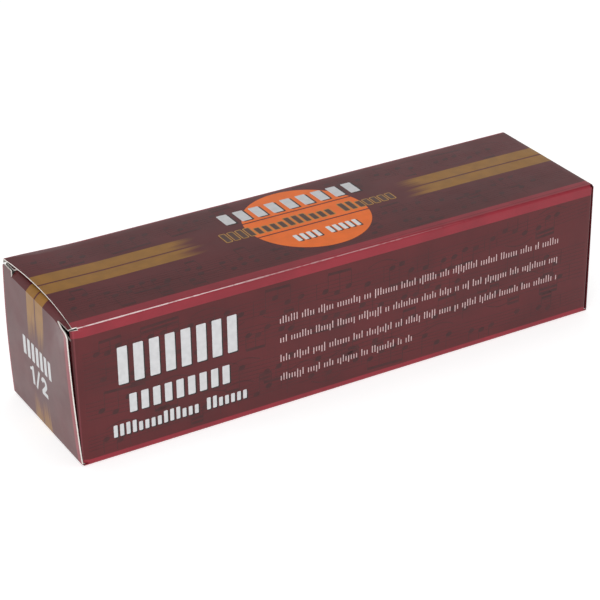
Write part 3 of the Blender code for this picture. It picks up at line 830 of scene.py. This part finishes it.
class DustFlap(End):
    """u runs inwards from the flap's fold and v up the carton."""

    def __init__(self, side, wall):
        super().__init__(side)
        self.body = f"{side}_dust_flap_{wall}"
        self.facing = 1 if wall == "front" else -1
        self.cuts_u = grid_lines(0, DUST_FLAP_WIDTH)
        self.cuts_v = grid_lines(0, HEIGHT)

    def outline(self):
        corners = [(0, DUST_FLAP_ROOT, 0)]
        corners += [(DUST_FLAP_WIDTH, DUST_FLAP_ROOT + DUST_FLAP_WIDTH, DUST_FLAP_CORNER)]
        corners += [(DUST_FLAP_WIDTH, DUST_FLAP_TOP, DUST_FLAP_CORNER), (0, DUST_FLAP_TOP, 0)]
        return rounded_outline(corners)

    def place(self, u, v, depth):
        x = -END + SIDE_WALL_SETBACK + depth
        if self.facing == 1:
            level = v if self.side == "left" else HEIGHT - v
            x -= self.spring(level) * (1 - smooth_step(u / FOLD_SPRING_REACH))
        y = self.facing * (-SIDE + FOLD_RADIUS + u)
        return self.world(x, y, v)


# ---- the carton


def build_board(name, node, panel, finishes):
    """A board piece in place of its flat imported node."""
    piece = slab(name + "_board", [panel.outline()], panel, 0.0, BOARD, finishes)
    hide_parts(node)


def build_walls(inside, edge):
    folded = END - FOLD_RADIUS
    side_end = folded - SIDE_WALL_SETBACK
    depth = 2 * SIDE
    both = ("left", "right")
    ends = {side: End(side) for side in both}
    bands = {side: band_pair(PRINT_SHIFT[side]) for side in both}
    top_print = printed_face("print_top", STRIPS["right"], bands["right"], fade_to_middle, top_crease_painted_shade)
    bottom_print = printed_face("print_bottom", STRIPS["left"], bands["left"], fade_to_middle)
    front_print = printed_face("print_front", STRIPS["upright"], extra=crease_wear_and_painted_light)
    back_print = printed_face("print_back", STRIPS["upright"])
    walls = {
        "top": (Wall(depth, MIDDLE, 0, -END, folded, ("right",), rises=True), top_print),
        "front": (Wall(HEIGHT, SIDE, QUARTER, -side_end, side_end, both, ends=ends), front_print),
        "bottom": (Wall(depth, MIDDLE, 2 * QUARTER, -folded, END, ("left",)), bottom_print),
        "back": (Wall(HEIGHT, SIDE, 3 * QUARTER, -side_end, side_end, both), back_print),
    }
    for name, (wall, print_finish) in walls.items():
        build_board(name, name + "_panel", wall, (print_finish, inside, edge))
    return {name: wall for name, (wall, _) in walls.items()}


def build_ends(inside, edge):
    dust_print = printed_face("print_dust_flap", [], extra=bleed_only(SIDE - FOLD_RADIUS - 6 * MM))
    lids = {}
    for side in ("left", "right"):
        bands = band_pair(PRINT_SHIFT[side])
        lid_print = printed_face(f"print_{side}_lid", STRIPS[side], bands, fade_on_lid)
        tuck_print = printed_face(f"print_{side}_tuck", [], bands, fade_on_lid)
        lids[side] = Lid(side)
        build_board(side + "_lid", side + "_lid", lids[side], (lid_print, inside, edge))
        build_board(side + "_tuck", side + "_tuck_flap", TuckFlap(side), (tuck_print, inside, edge))
        for wall in ("front", "back"):
            name = f"{side}_dust_flap_{wall}"
            build_board(name, name, DustFlap(side, wall), (dust_print, inside, edge))
    return lids


# ---- print


class Facing:
    """A panel read the right way round, x to the right and y up. Its own u and v may run the other way."""

    def __init__(self, panel, across=1, up=1, foot=0.0):
        self.panel = panel
        self.across = across
        self.up = up
        self.foot = foot
        self.body = panel.body
        self.cuts_u = sorted(line * across for line in panel.cuts_u)
        self.cuts_v = sorted((line - foot) * up for line in panel.cuts_v)

    def place(self, x, y, depth):
        return self.panel.place(self.across * x, self.up * y + self.foot, depth)


def ink(name, outlines, facing, height, finish):
    """A print of one ink, standing just proud of the board."""
    slab(name, outlines, facing, -height, INK_ROOT, (finish,))


# Rows of plain upright bars stand for words that aren't reproduced. Each row lists its bars' heights as
# shares of the row's height, with 0 for a space.
TITLE_BARS = (1.0,) * 8
NAME_BARS = (1.0,) * 9
KIND_BARS = (1.0,) * 4 + (0.74,) * 4 + (1.0,) * 3 + (0.74,) * 3 + (0,) + (1.0,) * 2 + (0.74,) * 5
CODE_BARS = (1.0,) * 4 + (0,) + (1.0,) * 5
SIZE_BARS = (1.0,) * 7
BAR_SHARE = 0.62  # how much of each step a bar fills
BAR_CORNER = 0.35 * MM

DISC_CENTRE = (0.8 * MM, 2.8 * MM)
DISC_RADIUS = 26.5 * MM
DISC_BANDS = ((-DISC_RADIUS, -6.4 * MM), (-5.6 * MM, 7.4 * MM), (8.2 * MM, DISC_RADIUS))  # up from its centre
DISC_STEPS = 24

TEXT_SEED = 7
TEXT_LEFT = -32.4 * MM
TEXT_TOP = 7.4 * MM
TEXT_LENGTHS = (135.4 * MM, 134.8 * MM, 135.0 * MM, 61.8 * MM)
TEXT_SPACING = 8.55 * MM
TEXT_HEIGHT = 2.1 * MM
TEXT_STEP = 1.25 * MM
TEXT_STROKE = 0.42 * MM
TALL_SHARE = 0.28  # how many strokes stand above the rest
HANGING_SHARE = 0.1  # how many hang below the line

MARK_LEFT = -13.5 * MM  # from the middle of the lid's bands
MARK_LENGTH = 27.1 * MM
FRACTION_LOW = 16.4 * MM
FRACTION_HEIGHT = 8.4 * MM


def bars(heights, left, right, low, height, grow=0.0):
    """A row of upright bars from left to right, in place of a word."""
    step = (right - left) / (len(heights) - 1 + BAR_SHARE)
    outlines = []
    for i, tall in enumerate(heights):
        if tall:
            near = left + i * step - grow
            far = left + (i + BAR_SHARE) * step + grow
            outlines.append(block(near, low - grow, far, low + height * tall + grow, BAR_CORNER + grow))
    return outlines


def small_print(rng, left, low, length):
    """One line of small print as fine strokes, in groups as long as words, some taller than the rest."""
    outlines = []
    x = left
    while x < left + length:
        for _ in range(rng.randint(2, 10)):
            if x < left + length:
                head = 1.5 if rng.random() < TALL_SHARE else 1.0
                foot = -0.4 if rng.random() < HANGING_SHARE else 0.0
                outlines.append(block(x, low + foot * TEXT_HEIGHT, x + TEXT_STROKE, low + head * TEXT_HEIGHT))
            x += TEXT_STEP
        x += TEXT_STEP
    return outlines


def print_titles(prefix, facing, inks):
    """The title block and the paragraph of a side panel, placed from its middle."""
    face = bars(TITLE_BARS, -102.3 * MM, -51.5 * MM, 1.1 * MM, 16.1 * MM)
    face += bars(NAME_BARS, -98.3 * MM, -55.2 * MM, -12.1 * MM, 8.1 * MM)
    face += bars(KIND_BARS, -105.5 * MM, -47.8 * MM, -21.3 * MM, 5.3 * MM)
    ink(prefix + "_title_shadow", shifted(face, 0.5 * MM, -0.5 * MM), facing, INK_UNDER, inks["shadow"])
    ink(prefix + "_title", face, facing, INK_MIDDLE, inks["silver"])
    rng = random.Random(TEXT_SEED)
    lines = []
    for number, length in enumerate(TEXT_LENGTHS):
        lines += small_print(rng, TEXT_LEFT, TEXT_TOP - TEXT_SPACING * number, length)
    ink(prefix + "_text", lines, facing, INK_MIDDLE, inks["text"])


def disc_parts():
    """The disc, left standing only in its bands, so that lines of ground cross it."""
    x, y = DISC_CENTRE
    widest = DISC_RADIUS - 1e-6
    parts = []
    for low, high in DISC_BANDS:
        start = math.asin(max(low, -widest) / DISC_RADIUS)
        end = math.asin(min(high, widest) / DISC_RADIUS)
        angles = [start + (end - start) * i / DISC_STEPS for i in range(DISC_STEPS + 1)]
        right = [(x + DISC_RADIUS * math.cos(a), y + DISC_RADIUS * math.sin(a)) for a in angles]
        left = [(2 * x - px, py) for px, py in reversed(right)]
        parts.append(right + left)
    return parts


def print_top(facing, inks):
    """The emblem of the top panel: a disc crossed by two lines, with three words over it."""
    ink("top_disc", disc_parts(), facing, INK_UNDER, inks["orange"])
    name = bars(NAME_BARS, -30.4 * MM, 33.0 * MM, 13.2 * MM, 9.3 * MM)
    ink("top_name_shadow", shifted(name, 0.7 * MM, -0.7 * MM), facing, INK_MIDDLE, inks["shadow"])
    ink("top_name", name, facing, INK_OVER, inks["silver"])
    kind = (KIND_BARS, -37.4 * MM, 41.6 * MM, -0.4 * MM, 7.2 * MM)
    ink("top_kind_outline", bars(*kind, 0.4 * MM), facing, INK_MIDDLE, inks["gold"])
    ink("top_kind", bars(*kind, -0.05 * MM), facing, INK_OVER, inks["brown"])
    code = bars(CODE_BARS, -12.6 * MM, 16.6 * MM, -14.1 * MM, 5.6 * MM)
    ink("top_code_shadow", shifted(code, 0.6 * MM, -0.6 * MM), facing, INK_MIDDLE, inks["shadow"])
    ink("top_code", code, facing, INK_OVER, inks["white"])


def digit_one(x, y, height):
    """A plain figure one: a stem with a flag at its head."""
    stem = 0.22 * height
    right = x + 0.42 * height
    left = right - stem
    head = y + height
    joint = (left, head - 0.1 * height)
    upright = [(left, y), (right, y), (right, head), (left + 0.4 * stem, head), joint]
    flag = [(x, head - 0.32 * height), (left, head - 0.27 * height), joint, (x, head - 0.18 * height)]
    return [upright, flag]


def digit_two(x, y, height):
    """A plain figure two: a hook, a slope and a foot."""
    width = 0.66 * height
    stroke = 0.22 * height
    radius = (width - stroke) / 2
    centre = (x + width / 2, y + height - stroke / 2 - radius)
    angles = [math.radians(176 - 216 * i / 12) for i in range(13)]
    hook = [(centre[0] + radius * math.cos(a), centre[1] + radius * math.sin(a)) for a in angles]
    hook.append((x + 0.6 * stroke, y + 0.8 * stroke))
    return ribbon(hook, stroke) + [block(x, y, x + width, y + stroke)]


def print_lid_mark(side, facing, silver):
    """The size mark of a lid: a row of bars for its word, and the fraction one half."""
    left = facing.across * PRINT_SHIFT[side] + MARK_LEFT
    outlines = bars(SIZE_BARS, left, left + MARK_LENGTH, 27.3 * MM, 8.2 * MM)
    start = left + 5.1 * MM
    high = FRACTION_LOW + FRACTION_HEIGHT
    outlines += digit_one(start, FRACTION_LOW, FRACTION_HEIGHT)
    slash = [(start + 5.2 * MM, FRACTION_LOW - 0.4 * MM), (start + 9.0 * MM, high + 0.3 * MM)]
    outlines += ribbon(slash, 1.4 * MM)
    outlines += digit_two(start + 10.6 * MM, FRACTION_LOW, FRACTION_HEIGHT)
    ink(side + "_size_mark", outlines, facing, INK_MIDDLE, silver)


def slur(x, level, rise):
    """A long arch beside the notes that start at x."""
    arch = []
    for i in range(9):
        share = i / 8
        sag = rise * (4.2 * MM + 2.0 * MM * math.sin(math.pi * share))
        arch.append((x + share * 14 * MM, level - sag))
    return ribbon(arch, 0.4 * MM)


def stave(rng, left, right, height):
    """A faint stave of music of no particular tune: its five waving lines, and its notes."""
    pitch = rng.uniform(1.5, 1.8) * MM
    phase = rng.uniform(0, 6.28)
    tilt = rng.uniform(-0.03, 0.03)
    swing = rng.uniform(1.2, 2.2) * MM

    def level(x, line):
        return height + tilt * x + swing * math.sin(x / (38 * MM) + phase) + (line - 2) * pitch

    lines, notes = [], []
    steps = max(4, int((right - left) / (6 * MM)))
    for line in range(5):
        xs = [left + (right - left) * i / steps for i in range(steps + 1)]
        lines += ribbon([(x, level(x, line)) for x in xs], 0.24 * MM)
    x = left + rng.uniform(3, 8) * MM
    while x < right - 14 * MM:
        count = rng.choice((1, 1, 2, 2, 3, 4))
        gap = rng.uniform(4.2, 6.0) * MM
        rise = rng.choice((-1, 1))
        tops = []
        for i in range(count):
            at = x + gap * i
            head = level(at, rng.choice((0.5, 1, 1.5, 2, 2.5, 3, 3.5)))
            notes.append(ellipse(at, head, 3.0 * MM, 2.1 * MM, 0.35))
            stem_x = at + rise * 1.3 * MM
            stem_end = level(at, 2) + rise * (2 * pitch + 3.0 * MM)
            lines += ribbon([(stem_x, head), (stem_x, stem_end)], 0.34 * MM)
            tops.append((stem_x, stem_end))
        if count > 1:
            for row in range(rng.choice((1, 1, 2))):
                drop = -rise * row * 1.9 * MM
                notes += ribbon([(px, py + drop) for px, py in (tops[0], tops[-1])], 1.15 * MM)
        if rng.random() < 0.35:
            lines += slur(x, level(x, 2), rise)
        x += gap * (count - 1) + rng.uniform(6, 13) * MM
        if rng.random() < 0.5:
            bar = x - 4 * MM
            lines += ribbon([(bar, level(bar, 0)), (bar, level(bar, 4))], 0.3 * MM)
    return lines, notes


def clipped(outlines, left, low, right, high):
    """Drops drawings that would run over the edge of the print."""
    kept = []
    for outline in outlines:
        xs = [x for x, _ in outline]
        ys = [y for _, y in outline]
        if left < min(xs) and max(xs) < right and low < min(ys) and max(ys) < high:
            kept.append(outline)
    return kept


def print_music(name, seed, facing, heights, low, high, inks):
    """Staves across a panel, between two heights."""
    rng = random.Random(seed)
    right = END - 3 * MM
    lines, notes = [], []
    for height in heights:
        stave_lines, stave_notes = stave(rng, -right, right, height)
        lines += stave_lines
        notes += stave_notes
    edge = right + MM
    ink(name + "_music_lines", clipped(lines, -edge, low, edge, high), facing, INK_SCORE, inks["score"])
    ink(name + "_music_notes", clipped(notes, -edge, low, edge, high), facing, INK_NOTES, inks["notes"])


def build_print(walls, lids):
    inks = {name: ink_finish("ink_" + name, *values) for name, values in INKS.items()}
    front = Facing(walls["front"])
    back = Facing(walls["back"], -1, -1)
    top = Facing(walls["top"])
    bottom = Facing(walls["bottom"])
    print_titles("front", front, inks)
    print_titles("back", back, inks)
    print_top(top, inks)
    side_heights = (17 * MM, 4 * MM, -9 * MM, -20 * MM)
    print_music("front", 11, front, side_heights, -27 * MM, 25 * MM, inks)
    print_music("back", 12, back, side_heights, -27 * MM, 25 * MM, inks)
    top_heights = (-20.5 * MM, -12 * MM, 21.5 * MM)
    print_music("top", 13, top, top_heights, -27 * MM, 30.5 * MM, inks)
    bottom_heights = [-height for height in top_heights]
    print_music("bottom", 14, bottom, bottom_heights, -30.5 * MM, 27 * MM, inks)
    print_lid_mark("left", Facing(lids["left"], -1, 1, -LID_FOOT), inks["silver"])
    print_lid_mark("right", Facing(lids["right"], 1, -1, HEIGHT - LID_FOOT), inks["silver"])


# ---- the shoulder rest


THREAD_RADIUS = 2.5 * MM
THREAD_PITCH = 0.8 * MM
THREAD_DEPTH = 0.42 * MM
FLANGE_LOW = 20.8 * MM
FLANGE_HIGH = 22.2 * MM
FLANGE_RADIUS = 4.6 * MM
FLANGE_BEVEL = 0.3 * MM
SCREW_SIDES = 24
CRISP_SCREW = math.radians(40)


def screw_stations(foot, head):
    """The screw from its foot to its head, as heights with their radius and depth of thread."""
    stations = []
    for start, end in ((foot, FLANGE_LOW), (FLANGE_LOW, FLANGE_HIGH), (FLANGE_HIGH, head)):
        if start == FLANGE_LOW:
            stations += [(start, FLANGE_RADIUS - FLANGE_BEVEL, 0), (start + FLANGE_BEVEL, FLANGE_RADIUS, 0)]
            stations += [(end - FLANGE_BEVEL, FLANGE_RADIUS, 0), (end, FLANGE_RADIUS - FLANGE_BEVEL, 0)]
            continue
        count = int((end - start) / (THREAD_PITCH / 6))
        for i in range(count + 1):
            z = start + (end - start) * i / count
            from_end = min(z - foot, head - z)
            from_flange = min(abs(z - FLANGE_LOW), abs(z - FLANGE_HIGH))
            taper = 0.6 * MM * max(0.0, 1 - from_end / (0.7 * MM))
            cut = min(1.0, from_end / MM, from_flange / THREAD_PITCH)
            stations.append((z, THREAD_RADIUS - taper, THREAD_DEPTH * cut))
    return stations


def build_stem(side, finish):
    """A leg's screw: a rolled thread above and below its flange."""
    low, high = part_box(side + "_stem")
    x = (low.x + high.x) / 2
    y = (low.y + high.y) / 2
    build = bmesh.new()
    rings = []
    for z, widest, cut in screw_stations(low.z, high.z):
        ring = []
        for k in range(SCREW_SIDES):
            turn = k / SCREW_SIDES
            phase = ((z - low.z) / THREAD_PITCH - turn) % 1.0
            radius = widest - cut * abs(phase * 2 - 1)
            angle = 2 * math.pi * turn
            ring.append(build.verts.new((x + radius * math.cos(angle), y + radius * math.sin(angle), z)))
        rings.append(ring)
    for first, second in zip(rings, rings[1:]):
        for k in range(SCREW_SIDES):
            following = (k + 1) % SCREW_SIDES
            build.faces.new((first[k], first[following], second[following], second[k]))
    build.faces.new(rings[0][::-1])
    build.faces.new(rings[-1])
    screw = add_piece(side + "_screw", build, (finish,), CRISP_SCREW, side + "_stem")
    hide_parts(side + "_stem")


PAD_VOXEL = 1.1 * MM
PAD_ROUNDING = 12  # passes of smoothing
PAD_UNEVEN = 0.12 * MM
PAD_SHRINK = 0.05 * MM


def build_pad(finish):
    """The foam pad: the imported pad's shape, with soft edges and a skin that isn't quite even."""
    pad = add_object("foam_pad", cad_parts["pad"].data.copy())
    remesh = pad.modifiers.new("even", "REMESH")
    remesh.mode = "VOXEL"
    remesh.voxel_size = PAD_VOXEL
    smooth = pad.modifiers.new("soft", "SMOOTH")
    smooth.iterations = PAD_ROUNDING
    smooth.factor = 0.5
    bpy.context.view_layer.update()
    evaluated = pad.evaluated_get(bpy.context.evaluated_depsgraph_get())
    soft = bpy.data.meshes.new_from_object(evaluated)
    pad.modifiers.clear()
    pad.data = soft
    for vert in soft.vertices:
        place = vert.co / (6 * MM)
        vert.co += vert.normal * (PAD_UNEVEN * noise.noise(place) - PAD_SHRINK)
    soft.materials.clear()
    soft.materials.append(finish)
    soft.shade_smooth()
    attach(pad, "carton")
    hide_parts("pad")


def dress_nodes(finishes, rest):
    """Gives every CAD node that still shows the finish for its name, or else the one for the rest."""
    for name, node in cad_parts.items():
        if not node.hide_render:
            found = [finish for word, finish in finishes.items() if word in name]
            for material_slot in node.material_slots:
                material_slot.material = found[0] if found else rest


# ---- studio


FLOOR = 6.0  # half its width
BACKDROP_TOP = math.radians(24)  # the backdrop is bright up to here, and dim from the next height on
DIM_FROM = math.radians(33)


def build_floor():
    mesh = bpy.data.meshes.new("floor")
    corners = [(-FLOOR, -FLOOR, 0), (FLOOR, -FLOOR, 0), (FLOOR, FLOOR, 0), (-FLOOR, FLOOR, 0)]
    mesh.from_pydata(corners, [], [(0, 1, 2, 3)])
    floor = add_object("floor", mesh)
    finish = Finish("pale_floor", roughness=0.9, specular=0.0)
    finish.shader.inputs["Emission Color"].default_value = (1, 1, 1, 1)
    finish.shader.inputs["Emission Strength"].default_value = 0.6
    mesh.materials.append(finish.done(finish.mottled(0.3, 2.0, (0.63, 0.63, 0.63), (0.65, 0.65, 0.65))))


def build_light(name, place, target, size, power):
    data = bpy.data.lights.new(name, "AREA")
    data.shape = "RECTANGLE"
    data.size, data.size_y = size
    data.energy = power
    light = add_object(name, data)
    direction = Vector(target) - Vector(place)
    light.matrix_world = Matrix.Translation(place) @ direction.to_track_quat("-Z", "Y").to_matrix().to_4x4()
    light.visible_camera = False


def build_world():
    """A light tent: a bright low backdrop all round, dimmer higher up."""
    world = bpy.data.worlds.new("studio")
    bpy.context.scene.world = world
    world.use_nodes = True
    tree = world.node_tree
    tree.nodes.clear()
    place = tree.nodes.new("ShaderNodeTexCoord")
    split = tree.nodes.new("ShaderNodeSeparateXYZ")
    ramp = tree.nodes.new("ShaderNodeMapRange")
    ramp.interpolation_type = "SMOOTHSTEP"
    background = tree.nodes.new("ShaderNodeBackground")
    output = tree.nodes.new("ShaderNodeOutputWorld")
    tree.links.new(place.outputs["Generated"], split.inputs[0])
    tree.links.new(split.outputs["Z"], ramp.inputs["Value"])
    ramp.inputs["From Min"].default_value = math.sin(BACKDROP_TOP)
    ramp.inputs["From Max"].default_value = math.sin(DIM_FROM)
    ramp.inputs["To Min"].default_value = 1.0
    ramp.inputs["To Max"].default_value = 0.22
    tree.links.new(ramp.outputs[0], background.inputs["Strength"])
    tree.links.new(background.outputs[0], output.inputs[0])


def build_studio():
    build_floor()
    build_world()
    build_light("overhead", (0.0, 0.1, 1.6), (0, 0, 0), (1.6, 1.6), 12.0)
    build_light("front_left", (-0.95, -1.25, 0.75), (0, 0, 0.03), (0.9, 0.9), 11.0)
    bpy.context.scene.view_settings.view_transform = "Standard"


# ---- the whole


def main():
    inside = inner_board_finish()
    edge = cut_edge_finish()
    steel = metal_finish("zinc_steel_finish", (0.6, 0.61, 0.62), (0.36, 0.35, 0.33), 0.26)
    brass = metal_finish("brass_finish", (0.76, 0.53, 0.2), (0.45, 0.3, 0.12), 0.22)
    build_camera()
    walls = build_walls(inside, edge)
    lids = build_ends(inside, edge)
    build_print(walls, lids)
    for side in ("left", "right"):
        build_stem(side, steel)
    build_pad(foam_finish())
    finishes = {"glue_flap": inside, "insert": brass, "lock_nut": brass}
    finishes |= {"fork_nut": steel, "sleeve": rubber_finish()}
    dress_nodes(finishes, nylon_finish())
    build_studio()


main()
